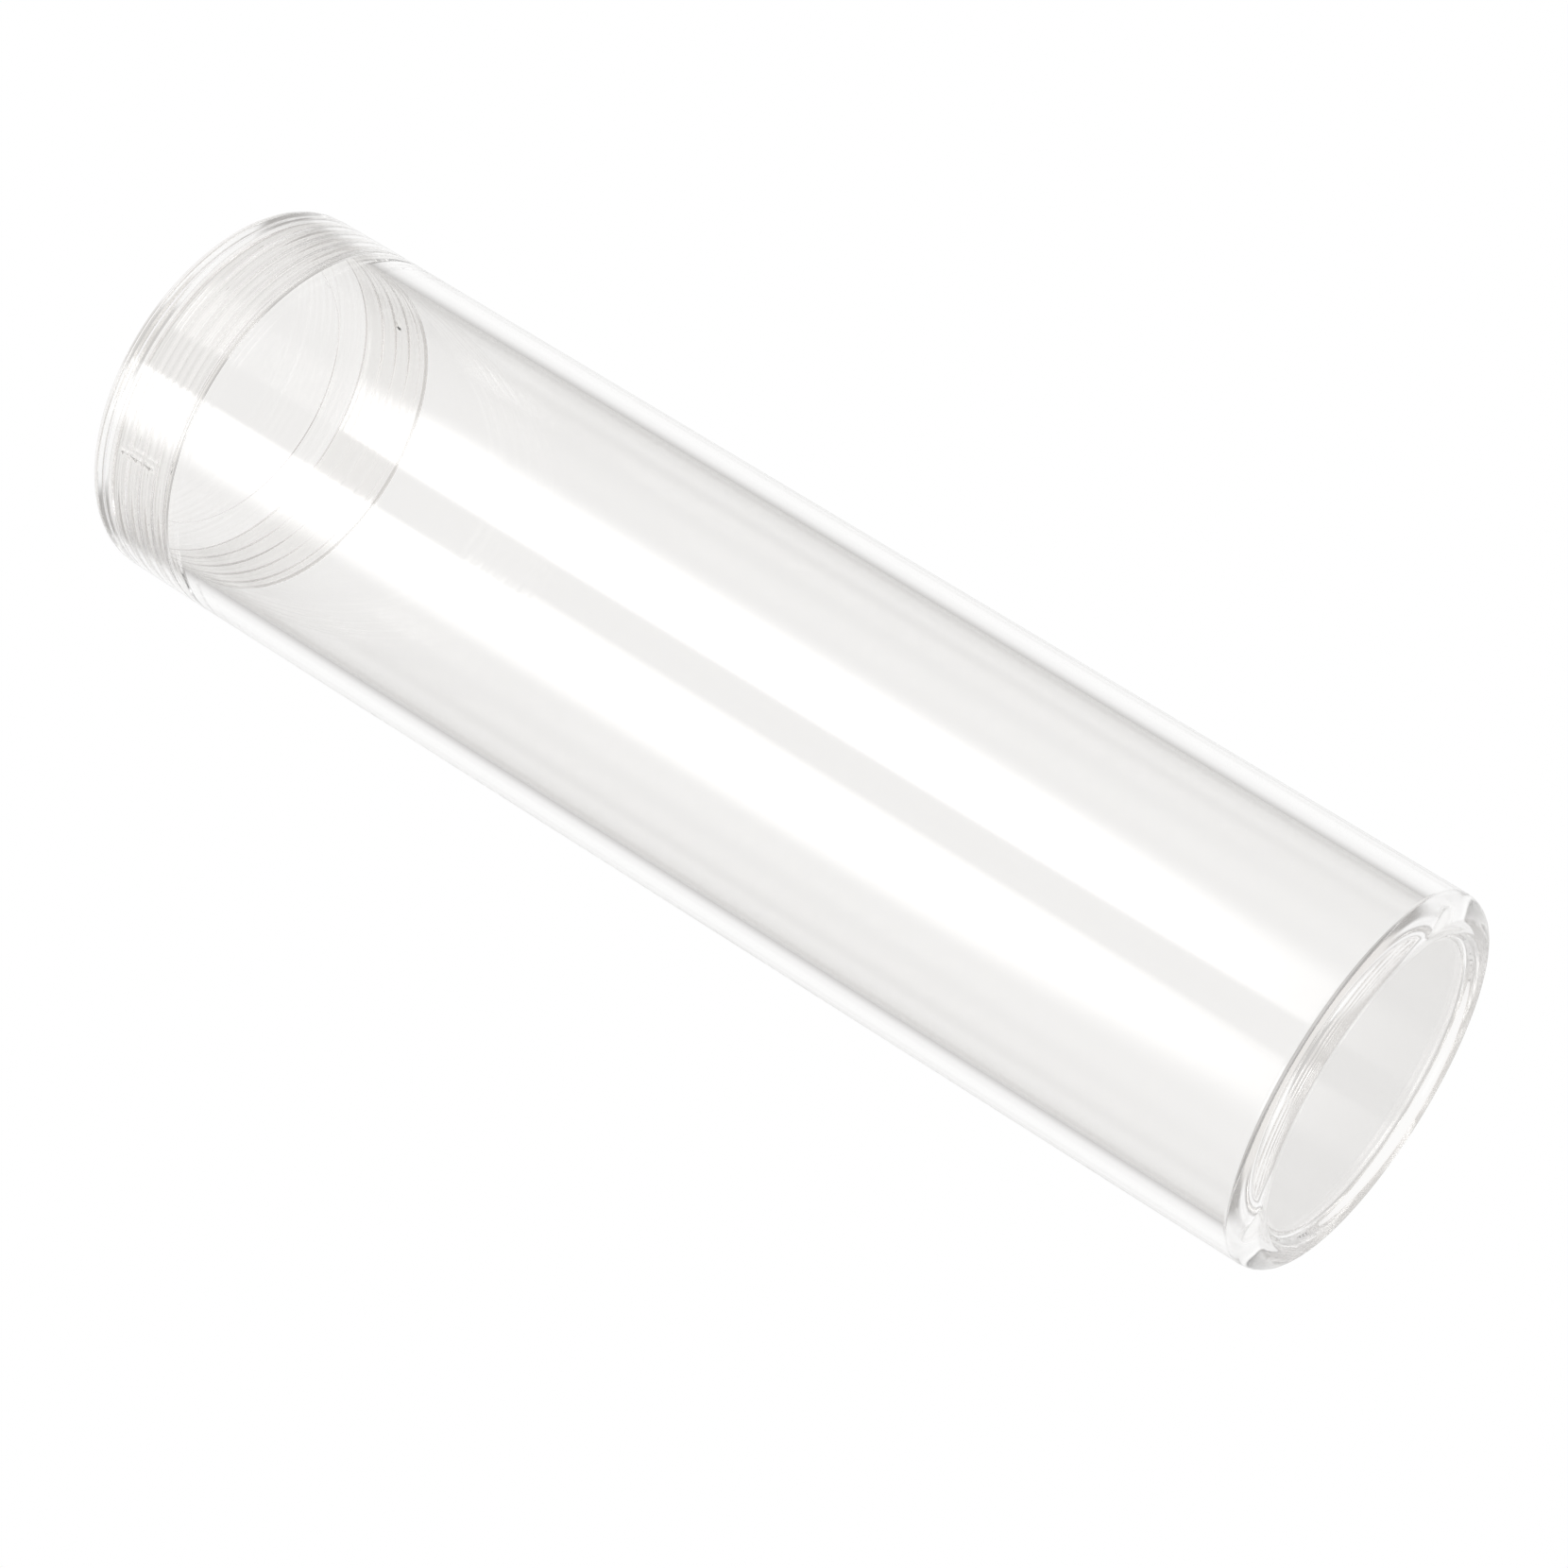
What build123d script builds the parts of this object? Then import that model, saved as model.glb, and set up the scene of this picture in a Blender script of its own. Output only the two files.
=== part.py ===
# Clear screw-top coin tube, standing on its foot ring with the tube's axis along +Z.
# The origin is on the resting plane, under the centre of the base. All sizes are in millimetres.
from build123d import *
import os

os.makedirs("parts", exist_ok=True)

# Outside of the tube
shoulder_diameter = 40.0  # at the joint with the cap, and all the way up the cap
base_diameter = 38.1  # at the resting plane: the tube narrows downwards by its moulding draft
body_height = 128.1  # from the resting plane to the shoulder

# Joint between tube and cap, outwards from the bore
neck_wall = 1.05  # plain neck, at its rim
thread_clearance = 0.3  # radial gap between the neck and the cap's skirt
skirt_wall = 0.85  # plain skirt of the cap, which ends flush with the tube
joint_chamfer = 0.2  # broken outer edges of shoulder and skirt, which make the fine line between them

# Base
floor_thickness = 1.3  # from the sunk panel to the inside floor
heel_radius = 2.0  # outside corner under the wall
cove_width = 0.6  # eased inside corner between wall and floor
foot_ring_width = 1.2  # flat ring that the tube stands on
panel_depth = 0.9  # how far the base panel is sunk above the resting plane
panel_lean = 0.7  # how far the panel's edge leans inwards over its depth

# Neck
neck_height = 8.0  # from the shoulder to the rim
rim_chamfer = 0.3  # broken edges on both sides of the rim

# Cap
cap_end_wall = 2.3  # flat end of the cap, round its shallow panel
rim_clearance = 0.2  # axial gap between the neck's rim and the cap's end wall
cap_corner_radius = 1.5  # outside corner round the cap's end
end_panel_diameter = 30.0  # shallow panel sunk in the cap's end
end_panel_depth = 0.2  # its step, which shows through the clear end as one faint ring

# Places that follow from the sizes above
shoulder_radius = shoulder_diameter / 2
base_radius = base_diameter / 2
draft = (shoulder_radius - base_radius) / body_height
floor_height = panel_depth + floor_thickness
rim_height = body_height + neck_height
ceiling_height = rim_height + rim_clearance
cap_height = ceiling_height + cap_end_wall
end_panel_radius = end_panel_diameter / 2
end_panel_height = cap_height - end_panel_depth
skirt_radius = shoulder_radius - skirt_wall
neck_radius = skirt_radius - thread_clearance
bore_mouth_radius = neck_radius - neck_wall
bore_floor_radius = bore_mouth_radius - draft * (rim_height - floor_height)
foot_outer_radius = base_radius - heel_radius
foot_inner_radius = foot_outer_radius - foot_ring_width
panel_radius = foot_inner_radius - panel_lean

# The tube: its half section turned about the axis. Wall, floor and neck are one moulding.
with BuildPart() as tube_body:
    with BuildSketch(Plane.XZ) as tube_section:
        with BuildLine():
            Polyline(
                (0, panel_depth),
                (panel_radius, panel_depth),
                (foot_inner_radius, 0),
                (base_radius, 0),
                (shoulder_radius, body_height),
                (neck_radius, body_height),
                (neck_radius, rim_height),
                (bore_mouth_radius, rim_height),
                (bore_floor_radius, floor_height),
                (0, floor_height),
                close=True,
            )
        make_face()
        fillet(tube_section.vertices().sort_by_distance((base_radius, 0))[0], heel_radius)
        for corner, width in (
            ((bore_floor_radius, floor_height), cove_width),
            ((shoulder_radius, body_height), joint_chamfer),
            ((neck_radius, rim_height), rim_chamfer),
            ((bore_mouth_radius, rim_height), rim_chamfer),
        ):
            chamfer(tube_section.vertices().sort_by_distance(corner)[0], width)
    revolve(axis=Axis.Z)
tube_body.part.label = "tube_body"
export_step(tube_body.part, "parts/tube_body.step")

# The cap: a shallow cup, mouth down, whose skirt goes over the neck and seats on the shoulder.
with BuildPart() as screw_cap:
    with BuildSketch(Plane.XZ) as cap_section:
        with BuildLine():
            Polyline(
                (0, end_panel_height),
                (end_panel_radius, end_panel_height),
                (end_panel_radius, cap_height),
                (shoulder_radius, cap_height),
                (shoulder_radius, body_height),
                (skirt_radius, body_height),
                (skirt_radius, ceiling_height),
                (0, ceiling_height),
                close=True,
            )
        make_face()
        fillet(cap_section.vertices().sort_by_distance((shoulder_radius, cap_height))[0], cap_corner_radius)
        chamfer(cap_section.vertices().sort_by_distance((shoulder_radius, body_height))[0], joint_chamfer)
    revolve(axis=Axis.Z)
screw_cap.part.label = "screw_cap"
export_step(screw_cap.part, "parts/screw_cap.step")
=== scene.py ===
# Clear screw-top coin tube: a moulded tube with a threaded neck and a flush screw cap.
# Metres, in the CAD model's frame: the tube stands on z = 0 with its axis along +Z.
from math import atan2, ceil, cos, hypot, radians, remainder, tau

import bmesh
import bpy
from mathutils import Matrix, Vector


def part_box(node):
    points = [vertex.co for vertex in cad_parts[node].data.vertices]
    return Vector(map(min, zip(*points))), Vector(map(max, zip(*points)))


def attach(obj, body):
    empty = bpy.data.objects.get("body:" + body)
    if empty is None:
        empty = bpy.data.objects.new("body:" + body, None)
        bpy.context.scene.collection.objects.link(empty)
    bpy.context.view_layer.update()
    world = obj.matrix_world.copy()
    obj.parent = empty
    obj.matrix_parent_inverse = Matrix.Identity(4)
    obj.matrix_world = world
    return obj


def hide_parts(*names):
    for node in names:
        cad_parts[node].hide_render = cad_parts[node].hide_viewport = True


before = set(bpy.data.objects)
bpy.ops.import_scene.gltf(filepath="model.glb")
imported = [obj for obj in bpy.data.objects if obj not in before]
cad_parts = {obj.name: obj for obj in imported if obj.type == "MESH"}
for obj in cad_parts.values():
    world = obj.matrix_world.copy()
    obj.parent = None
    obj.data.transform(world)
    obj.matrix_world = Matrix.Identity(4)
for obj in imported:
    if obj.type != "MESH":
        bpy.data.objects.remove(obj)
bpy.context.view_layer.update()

# Tube
# One injection moulding in clear polystyrene: a wall with a little draft, a sunk base panel inside
# a rounded foot ring, and a thinner neck above the shoulder that carries the outside thread.
mm = 0.001
around = 400
rim_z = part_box("tube_body")[1].z
shoulder_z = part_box("screw_cap")[0].z
outer_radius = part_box("screw_cap")[1].x
draft = 0.95 * mm
base_radius = outer_radius - draft
heel_rounding = 2.0 * mm
panel_radius = 15.15 * mm
panel_z = 0.9 * mm
foot_inner_radius = 15.85 * mm
foot_rounding = 0.45 * mm
floor_z = 2.2 * mm
bore_floor_radius = 16.81 * mm
bore_mouth_radius = 17.8 * mm
cove_rounding = 0.75 * mm
edge_rounding = 0.2 * mm
rim_rounding = 0.35 * mm
rounding_steps = 8
neck_root = 18.82 * mm
thread_pitch = 1.8 * mm
thread_height = 0.11 * mm
thread_width = 1.15 * mm
thread_start = 0.25
thread_fade = 0.5 * mm
thread_rows = 20
tube_thread = (shoulder_z + 0.55 * mm, rim_z - 0.65 * mm)
parting_lines = ((radians(-123), shoulder_z + 2.6 * mm),)
parting_width = 0.14 * mm
parting_depth = 0.16 * mm
vent_marks = ((radians(33.3), shoulder_z + 3.3 * mm),)
vent_radius = 0.5 * mm
vent_depth = 0.3 * mm
near = 0.01 * mm
weld = 0.003 * mm


def run_out(z, zone):
    """How far the thread has risen at a height: it fades in and out at the two ends of its zone."""
    step = min(max(min(z - zone[0], zone[1] - z) / thread_fade, 0.0), 1.0)
    return step * step * (3 - 2 * step)


def lathe(name, corners, zone, root, way, seams=(), vents=()):
    """A closed shell turned from its half section, with a screw thread wound along the zone.

    corners are (radius, height, rounding), from the axis and back to it. The thread's rows climb by
    one pitch in each turn, so the last ring meets the first one a pitch higher up. way is 1 for a thread
    that stands outwards and -1 for one that stands inwards, half a pitch between the other's turns. seams
    are the bearings and lower ends of the mould's parting lines, fine grooves across the thread, and vents
    the places of its small vent marks, which are dimples.
    """
    bm = bmesh.new()
    section = [bm.verts.new((radius, 0, height)) for radius, height, _ in corners]
    for start, end in zip(section, section[1:]):
        bm.edges.new((start, end))
    for vert, (_, _, rounding) in zip(section, corners):
        if rounding:
            bmesh.ops.bevel(bm, geom=[vert], offset=rounding, offset_type="OFFSET", affect="VERTICES",
                            segments=rounding_steps, profile=0.5, material=-1)
    threaded = [e for e in bm.edges if all(zone[0] - near < v.co.z < zone[1] + near
                                           and abs(v.co.x - root) < near for v in e.verts)]
    climb = zone[1] - zone[0]
    row = thread_pitch / thread_rows
    rows = thread_rows + ceil(climb / row)
    bmesh.ops.subdivide_edges(bm, edges=threaded, cuts=rows - 1)
    ring = bm.verts[:] + bm.edges[:]
    spun = bmesh.ops.spin(bm, geom=ring, cent=(0, 0, 0), axis=(0, 0, 1), angle=tau, steps=around)
    last = {v for v in spun["geom_last"] if isinstance(v, bmesh.types.BMVert)}
    lip = tau / around - parting_width / 2 / root
    crown = thread_start + (0.5 if way > 0 else 0.0)
    for v in bm.verts:
        radius = v.co.xy.length
        if abs(radius - root) > near or not zone[0] - near < v.co.z < zone[1] + near:
            continue
        turn = 1.0 if v in last else (atan2(v.co.y, v.co.x) / tau) % 1.0
        place = round((v.co.z - zone[0]) / climb * rows) * row - thread_pitch
        z = zone[0] + min(max(place + turn * thread_pitch, 0.0), climb)
        aside = remainder((zone[0] - shoulder_z + place) / thread_pitch + crown, 1.0) * thread_pitch
        rise = thread_height * (0.5 + 0.5 * cos(tau * min(abs(aside) / thread_width, 0.5)))
        drawn = 0.0
        for bearing, lowest in seams:
            ahead = round(remainder(bearing / tau - turn, 1.0) * around)
            if z > lowest and ahead == 0:
                rise = -parting_depth
            elif z > lowest and abs(ahead) == 1:
                drawn = ahead * lip
        for bearing, height in vents:
            off = hypot(remainder(turn * tau - bearing, tau) * root, z - height)
            rise -= vent_depth * max(1 - off / vent_radius, 0)
        risen = run_out(z, zone)
        scale = (root + way * rise * risen) / radius
        v.co = Matrix.Rotation(drawn * risen, 3, "Z") @ Vector((v.co.x * scale, v.co.y * scale, z))
    bmesh.ops.remove_doubles(bm, verts=bm.verts, dist=weld)
    bmesh.ops.recalc_face_normals(bm, faces=bm.faces)
    for face in bm.faces:
        face.smooth = True
    mesh = bpy.data.meshes.new(name)
    bm.to_mesh(mesh)
    bm.free()
    piece = bpy.data.objects.new(name, mesh)
    bpy.context.collection.objects.link(piece)
    even = piece.modifiers.new("even_normals", "WEIGHTED_NORMAL")
    even.mode = "FACE_AREA"
    even.weight = 50
    return piece


tube = lathe("clear_tube", (
    (0.0, panel_z, 0.0),
    (panel_radius, panel_z, foot_rounding),
    (foot_inner_radius, 0.0, foot_rounding),
    (base_radius, 0.0, heel_rounding),
    (outer_radius, shoulder_z, edge_rounding),
    (neck_root, shoulder_z, edge_rounding),
    (neck_root, tube_thread[0], 0.0),
    (neck_root, tube_thread[1], 0.0),
    (neck_root, rim_z, rim_rounding),
    (bore_mouth_radius, rim_z, rim_rounding),
    (bore_floor_radius, floor_z, cove_rounding),
    (0.0, floor_z, 0.0),
), tube_thread, neck_root, 1, parting_lines, vent_marks)

# The plastic is colourless and polished. Light that passes several walls comes out a little warmer, the
# mould's polish leaves slow waves in the surface, and the foot is scuffed where the tube has been set down.
clear_plastic = bpy.data.materials.new("clear_plastic")
clear_plastic.use_nodes = True
nodes, links = clear_plastic.node_tree.nodes, clear_plastic.node_tree.links
plastic = nodes["Principled BSDF"]
plastic.inputs["Base Color"].default_value = (0.992, 0.988, 0.982, 1)
plastic.inputs["Transmission Weight"].default_value = 1.0
plastic.inputs["IOR"].default_value = 1.59
place = nodes.new("ShaderNodeTexCoord")
polish = nodes.new("ShaderNodeTexNoise")
polish.inputs["Scale"].default_value = 70.0
polish.inputs["Detail"].default_value = 1.0
links.new(place.outputs["Object"], polish.inputs["Vector"])
waves = nodes.new("ShaderNodeBump")
waves.inputs["Strength"].default_value = 0.15
waves.inputs["Distance"].default_value = 0.04 * mm
links.new(polish.outputs["Fac"], waves.inputs["Height"])
links.new(waves.outputs["Normal"], plastic.inputs["Normal"])
grain = nodes.new("ShaderNodeTexNoise")
grain.inputs["Scale"].default_value = 1400.0
grain.inputs["Detail"].default_value = 3.0
links.new(place.outputs["Object"], grain.inputs["Vector"])
split = nodes.new("ShaderNodeSeparateXYZ")
links.new(place.outputs["Object"], split.inputs["Vector"])
worn = nodes.new("ShaderNodeMapRange")
worn.interpolation_type = "SMOOTHSTEP"
worn.inputs["From Min"].default_value = 0.12 * mm
worn.inputs["From Max"].default_value = 0.0
worn.inputs["To Max"].default_value = 0.08
links.new(split.outputs["Z"], worn.inputs["Value"])
scuffs = nodes.new("ShaderNodeMath")
scuffs.operation = "MULTIPLY"
links.new(worn.outputs["Result"], scuffs.inputs[0])
links.new(grain.outputs["Fac"], scuffs.inputs[1])
links.new(scuffs.outputs["Value"], plastic.inputs["Roughness"])
tube.data.materials.append(clear_plastic)
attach(tube, "tube")
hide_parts("tube_body")

# Screw cap
# A second moulding in the same plastic: a shallow cup whose skirt goes over the neck, with the inside
# thread that runs between the neck's own turns. Its outside is plain and ends flush with the tube.
end_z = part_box("screw_cap")[1].z
ceiling_z = rim_z + 0.2 * mm
end_panel_radius = 15.0 * mm
end_panel_z = end_z - 0.2 * mm
end_panel_rounding = 0.08 * mm
corner_rounding = 1.5 * mm
skirt_z = shoulder_z + 0.03 * mm
thread_gap = 0.05 * mm
skirt_root = neck_root + thread_height + thread_gap
cap_thread = (shoulder_z + 0.45 * mm, ceiling_z - 0.55 * mm)
cap = lathe("clear_cap", (
    (0.0, end_panel_z, 0.0),
    (end_panel_radius, end_panel_z, end_panel_rounding),
    (end_panel_radius, end_z, end_panel_rounding),
    (outer_radius, end_z, corner_rounding),
    (outer_radius, skirt_z, edge_rounding),
    (skirt_root, skirt_z, edge_rounding),
    (skirt_root, cap_thread[0], 0.0),
    (skirt_root, cap_thread[1], 0.0),
    (skirt_root, ceiling_z, edge_rounding),
    (0.0, ceiling_z, 0.0),
), cap_thread, skirt_root, -1)
cap.data.materials.append(clear_plastic)
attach(cap, "cap")
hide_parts("screw_cap")

# Studio floor
# A white sheet under the tube. It shows only from above, so that a camera below the base sees the foot
# ring and the panel, and it fades into the white behind it. Seen through the plastic it is mixed with a
# painted glow, an emission that stands in for the light the clear walls let in, except close to the foot
# ring.
sheet_reach = 0.6
bm = bmesh.new()
bmesh.ops.create_grid(bm, x_segments=1, y_segments=1, size=sheet_reach)
sheet_mesh = bpy.data.meshes.new("studio_floor")
bm.to_mesh(sheet_mesh)
bm.free()
sheet = bpy.data.objects.new("studio_floor", sheet_mesh)
bpy.context.collection.objects.link(sheet)
sheet_white = bpy.data.materials.new("sheet_white")
sheet_white.use_nodes = True
nodes, links = sheet_white.node_tree.nodes, sheet_white.node_tree.links
nodes["Principled BSDF"].inputs["Base Color"].default_value = (0.92, 0.92, 0.92, 1)
nodes["Principled BSDF"].inputs["Roughness"].default_value = 0.9
place = nodes.new("ShaderNodeTexCoord")
reach = nodes.new("ShaderNodeVectorMath")
reach.operation = "LENGTH"
links.new(place.outputs["Object"], reach.inputs[0])
fade = nodes.new("ShaderNodeMapRange")
fade.interpolation_type = "SMOOTHSTEP"
fade.inputs["From Min"].default_value = 0.10
fade.inputs["From Max"].default_value = 0.55
links.new(reach.outputs["Value"], fade.inputs["Value"])
side = nodes.new("ShaderNodeNewGeometry")
path = nodes.new("ShaderNodeLightPath")
hidden = nodes.new("ShaderNodeMath")
hidden.operation = "ADD"
links.new(side.outputs["Backfacing"], hidden.inputs[0])
links.new(path.outputs["Glossy Depth"], hidden.inputs[1])
unseen = nodes.new("ShaderNodeMath")
unseen.operation = "ADD"
unseen.use_clamp = True
links.new(hidden.outputs["Value"], unseen.inputs[0])
links.new(fade.outputs["Result"], unseen.inputs[1])
# Painted glow: an emission of 0.8 that the sheet shows through the plastic in place of the light the walls
# let in.
painted_glow = nodes.new("ShaderNodeEmission")
painted_glow.inputs["Strength"].default_value = 0.8
off_foot = nodes.new("ShaderNodeMath")
off_foot.operation = "SUBTRACT"
off_foot.inputs[1].default_value = (foot_inner_radius + base_radius) / 2
links.new(reach.outputs["Value"], off_foot.inputs[0])
from_foot = nodes.new("ShaderNodeMath")
from_foot.operation = "ABSOLUTE"
links.new(off_foot.outputs["Value"], from_foot.inputs[0])
# The painted glow is left out within 2 mm of the foot ring and rises to a 65% share beyond 6 mm of it.
painted_glow_reach = nodes.new("ShaderNodeMapRange")
painted_glow_reach.interpolation_type = "SMOOTHSTEP"
painted_glow_reach.inputs["From Min"].default_value = 2.0 * mm
painted_glow_reach.inputs["From Max"].default_value = 6.0 * mm
painted_glow_reach.inputs["To Max"].default_value = 0.65
links.new(from_foot.outputs["Value"], painted_glow_reach.inputs["Value"])
through = nodes.new("ShaderNodeMath")
through.operation = "MULTIPLY"
links.new(path.outputs["Is Transmission Ray"], through.inputs[0])
links.new(painted_glow_reach.outputs["Result"], through.inputs[1])
# Mix of the lit sheet and its painted glow, for rays that come through the plastic.
white = nodes.new("ShaderNodeMixShader")
links.new(through.outputs["Value"], white.inputs["Fac"])
links.new(nodes["Principled BSDF"].outputs["BSDF"], white.inputs[1])
links.new(painted_glow.outputs["Emission"], white.inputs[2])
gap = nodes.new("ShaderNodeBsdfTransparent")
one_sided = nodes.new("ShaderNodeMixShader")
links.new(unseen.outputs["Value"], one_sided.inputs["Fac"])
links.new(white.outputs["Shader"], one_sided.inputs[1])
links.new(gap.outputs["BSDF"], one_sided.inputs[2])
links.new(one_sided.outputs["Shader"], nodes["Material Output"].inputs["Surface"])
sheet_mesh.materials.append(sheet_white)

# Light
# A white backdrop all round, seen straight and through the plastic. What the polished faces mirror is the
# room in front of it: dimmer walls that let the edges show, and two upright softboxes with soft ends.
world = bpy.data.worlds.new("studio")
world.use_nodes = True
bpy.context.scene.world = world
nodes, links = world.node_tree.nodes, world.node_tree.links
backdrop = nodes["Background"]
backdrop.inputs["Color"].default_value = (1, 1, 1, 1)
daylight = nodes.new("ShaderNodeBackground")
daylight.inputs["Color"].default_value = (1, 1, 1, 1)
daylight.inputs["Strength"].default_value = 0.7
direction = nodes.new("ShaderNodeTexCoord")
bearing = nodes.new("ShaderNodeTexGradient")
bearing.gradient_type = "RADIAL"
links.new(direction.outputs["Generated"], bearing.inputs["Vector"])
split = nodes.new("ShaderNodeSeparateXYZ")
links.new(direction.outputs["Generated"], split.inputs["Vector"])
slope = nodes.new("ShaderNodeMath")
slope.operation = "ABSOLUTE"
links.new(split.outputs["Z"], slope.inputs[0])


def by_bearing(*stops):
    """A ramp of colours round the room, from (degrees from -Y towards +X, red, green, blue) in turn."""
    ramp = nodes.new("ShaderNodeValToRGB")
    ramp.color_ramp.interpolation = "EASE"
    for turned, *colour in stops:
        stop = ramp.color_ramp.elements.new(0.25 + turned / 360)
        stop.color = (*colour, 1)
    ramp.color_ramp.elements.remove(ramp.color_ramp.elements[0])
    ramp.color_ramp.elements.remove(ramp.color_ramp.elements[-1])
    links.new(bearing.outputs["Fac"], ramp.inputs["Fac"])
    return ramp.outputs["Color"]


def by_slope(flat, steep, low, high):
    """A level that changes smoothly from low to high between two slopes of the line of sight."""
    step = nodes.new("ShaderNodeMapRange")
    step.interpolation_type = "SMOOTHSTEP"
    step.inputs["From Min"].default_value = flat
    step.inputs["From Max"].default_value = steep
    step.inputs["To Min"].default_value = low
    step.inputs["To Max"].default_value = high
    links.new(slope.outputs["Value"], step.inputs["Value"])
    return step.outputs["Result"]


def times(first, second):
    """Product of two levels."""
    product = nodes.new("ShaderNodeMath")
    product.operation = "MULTIPLY"
    links.new(first, product.inputs[0])
    links.new(second, product.inputs[1])
    return product.outputs["Value"]


walls = by_bearing((-85, 0.44, 0.43, 0.42), (-40, 0.46, 0.45, 0.44), (40, 0.46, 0.45, 0.44),
                   (126, 0.44, 0.43, 0.42), (142, 1, 1, 1), (170, 1, 1, 1), (174, 0.62, 0.61, 0.60),
                   (186, 0.62, 0.61, 0.60), (190, 1, 1, 1), (218, 1, 1, 1), (234, 0.44, 0.43, 0.42))
boxes = nodes.new("ShaderNodeSeparateColor")
links.new(by_bearing((-58, 0, 0, 0), (-39, 0, 1, 0), (-16, 0, 1, 0), (-13, 0, 0, 0),
                     (9, 0, 0, 0), (15, 1, 0, 0), (35, 1, 0, 0), (55, 0, 0, 0)), boxes.inputs["Color"])
right_ends = times(by_slope(0.27, 0.37, 0.4, 2.1), by_slope(0.49, 0.515, 1.0, 0.0))
right_box = times(boxes.outputs["Red"], right_ends)
left_box = times(boxes.outputs["Green"], by_slope(0.28, 0.40, 0.4, 2.5))
both_boxes = nodes.new("ShaderNodeMath")
links.new(right_box, both_boxes.inputs[0])
links.new(left_box, both_boxes.inputs[1])
boxed = nodes.new("ShaderNodeMix")
boxed.data_type = "RGBA"
boxed.blend_type = "ADD"
boxed.inputs["Factor"].default_value = 1.0
links.new(walls, boxed.inputs["A"])
links.new(both_boxes.outputs["Value"], boxed.inputs["B"])
closed = nodes.new("ShaderNodeMix")
closed.data_type = "RGBA"
closed.inputs["B"].default_value = (0.86, 0.84, 0.82, 1)
links.new(by_slope(0.58, 0.75, 0.0, 1.0), closed.inputs["Factor"])
links.new(boxed.outputs["Result"], closed.inputs["A"])
room = nodes.new("ShaderNodeBackground")
links.new(closed.outputs["Result"], room.inputs["Color"])
path = nodes.new("ShaderNodeLightPath")
mirrored = nodes.new("ShaderNodeMath")
mirrored.operation = "GREATER_THAN"
mirrored.inputs[1].default_value = 0.5
links.new(path.outputs["Glossy Depth"], mirrored.inputs[0])
seen = nodes.new("ShaderNodeMixShader")
links.new(mirrored.outputs["Value"], seen.inputs["Fac"])
links.new(backdrop.outputs["Background"], seen.inputs[1])
links.new(room.outputs["Background"], seen.inputs[2])
scattered = nodes.new("ShaderNodeMath")
scattered.operation = "GREATER_THAN"
scattered.inputs[1].default_value = 0.5
links.new(path.outputs["Diffuse Depth"], scattered.inputs[0])
lit = nodes.new("ShaderNodeMixShader")
links.new(scattered.outputs["Value"], lit.inputs["Fac"])
links.new(seen.outputs["Shader"], lit.inputs[1])
links.new(daylight.outputs["Background"], lit.inputs[2])
links.new(lit.outputs["Shader"], nodes["World Output"].inputs["Surface"])

lamp = bpy.data.lights.new("top_lamp", "AREA")
lamp.shape = "RECTANGLE"
lamp.size = 0.5
lamp.size_y = 0.5
lamp.energy = 2.4
top_lamp = bpy.data.objects.new("top_lamp", lamp)
bpy.context.collection.objects.link(top_lamp)
top_lamp.location = (-0.35, -0.45, 0.75)
top_lamp.rotation_euler = (Vector((0, 0, 0.07)) - top_lamp.location).to_track_quat("-Z", "Y").to_euler()
top_lamp.visible_camera = False
top_lamp.visible_transmission = False
top_lamp.visible_glossy = False

# Camera
# A short telephoto below the base, which looks up along the tube as it lies across the picture.
lens = bpy.data.cameras.new("camera")
lens.lens = 103.02
lens.sensor_width = 36.0
lens.clip_start = 0.01
camera = bpy.data.objects.new("camera", lens)
bpy.context.collection.objects.link(camera)
camera.matrix_world = Matrix((
    (0.52420, 0.85150, 0.01056, 0.0),
    (0.35902, -0.20974, -0.90945, -0.38120),
    (-0.77219, 0.48053, -0.41567, -0.11035),
    (0.0, 0.0, 0.0, 1.0),
))
bpy.context.scene.camera = camera
bpy.context.scene.view_settings.view_transform = "Standard"

# Light that runs along inside a clear wall is turned back many times before it comes out.
bounces = 160
bpy.context.scene.cycles.max_bounces = bounces
bpy.context.scene.cycles.transmission_bounces = bounces
bpy.context.scene.cycles.glossy_bounces = bounces
